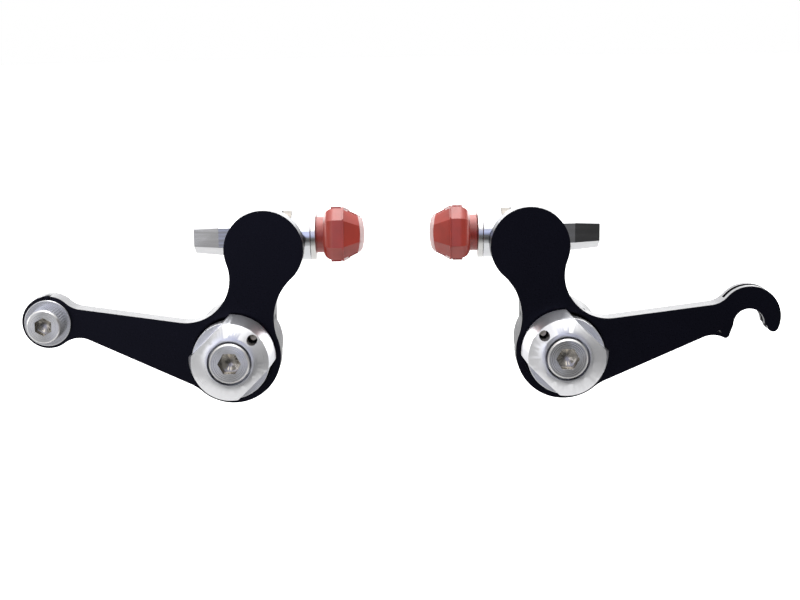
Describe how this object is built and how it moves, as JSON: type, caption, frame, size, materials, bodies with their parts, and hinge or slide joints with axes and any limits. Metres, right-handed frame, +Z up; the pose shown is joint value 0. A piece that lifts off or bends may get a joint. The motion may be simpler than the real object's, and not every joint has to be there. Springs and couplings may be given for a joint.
{
  "type": "cantilever brake",
  "caption": "Pair of cantilever brake arms with pivot bolts, sprung adjuster caps, long rubber pads on threaded studs, a cable anchor bolt on one arm and a slotted hook on the other.",
  "frame": {"origin": "midway between the two pivot axes, in the plane where the pivot sleeves end against the frame", "axes": "+X to the right in the picture, +Y along the pivot axes away from the viewer, +Z up"},
  "size_m": [0.1887, 0.053, 0.05],
  "materials": {
    "black_anodised": "satin black anodised",
    "bearing_bronze": "plain",
    "spring_steel": "drawn wire",
    "satin_aluminium": "satin turned",
    "stainless_steel": "fine turned",
    "dark_steel": "dull",
    "polished_steel": "polished",
    "brake_rubber": "moulded"
  },
  "bodies": {
    "pivot_fixings": {"left_sleeve": "bearing_bronze", "right_sleeve": "bearing_bronze", "left_pivot_bolt": "stainless_steel", "right_pivot_bolt": "stainless_steel"},
    "left_arm_body": {"left_arm": "black_anodised", "left_spring": "spring_steel", "left_inner_dome": "dark_steel", "left_outer_dome": "polished_steel", "anchor_bolt": "stainless_steel", "anchor_washer": "polished_steel"},
    "left_cap_body": {"left_cap": "satin_aluminium"},
    "left_pad_seat": {"left_inner_cup": "polished_steel", "left_outer_cup": "polished_steel", "left_washer": "stainless_steel"},
    "left_pad_body": {"left_pad": "brake_rubber", "left_pad_stud": "stainless_steel", "left_pad_nut": "polished_steel"},
    "right_arm_body": {"right_arm": "black_anodised", "right_spring": "spring_steel", "right_inner_dome": "dark_steel", "right_outer_dome": "polished_steel"},
    "right_cap_body": {"right_cap": "satin_aluminium"},
    "right_pad_seat": {"right_inner_cup": "polished_steel", "right_outer_cup": "polished_steel", "right_washer": "stainless_steel"},
    "right_pad_body": {"right_pad": "brake_rubber", "right_pad_stud": "stainless_steel", "right_pad_nut": "polished_steel"}
  },
  "joints": [
    {"name": "left_arm_swing", "type": "hinge", "parent": "pivot_fixings", "child": "left_arm_body", "pos_m": [-0.0413, 0, 0], "axis": [0, 1, 0], "range_deg": [-25, 7], "stiffness_Nm_per_rad": 0.35, "deforming": ["left_spring"]},
    {"name": "left_cap_turn", "type": "hinge", "parent": "pivot_fixings", "child": "left_cap_body", "pos_m": [-0.0413, 0, 0], "axis": [0, 1, 0], "range_deg": [-60, 60], "deforming": ["left_spring"]},
    {"name": "left_pad_toe_in", "type": "hinge", "parent": "left_arm_body", "child": "left_pad_seat", "pos_m": [-0.033, -0.0068, 0.0285], "axis": [0, 0, -1], "range_deg": [-4, 4]},
    {"name": "left_pad_roll", "type": "hinge", "parent": "left_pad_seat", "child": "left_pad_body", "pos_m": [-0.033, -0.0068, 0.0285], "axis": [1, 0, 0], "range_deg": [-20, 20]},
    {"name": "right_arm_swing", "type": "hinge", "parent": "pivot_fixings", "child": "right_arm_body", "pos_m": [0.0413, 0, 0], "axis": [0, -1, 0], "range_deg": [-25, 7], "stiffness_Nm_per_rad": 0.35, "deforming": ["right_spring"]},
    {"name": "right_cap_turn", "type": "hinge", "parent": "pivot_fixings", "child": "right_cap_body", "pos_m": [0.0413, 0, 0], "axis": [0, -1, 0], "range_deg": [-60, 60], "deforming": ["right_spring"]},
    {"name": "right_pad_toe_in", "type": "hinge", "parent": "right_arm_body", "child": "right_pad_seat", "pos_m": [0.033, -0.0068, 0.0285], "axis": [0, 0, 1], "range_deg": [-4, 4]},
    {"name": "right_pad_roll", "type": "hinge", "parent": "right_pad_seat", "child": "right_pad_body", "pos_m": [0.033, -0.0068, 0.0285], "axis": [1, 0, 0], "range_deg": [-20, 20]}
  ]
}
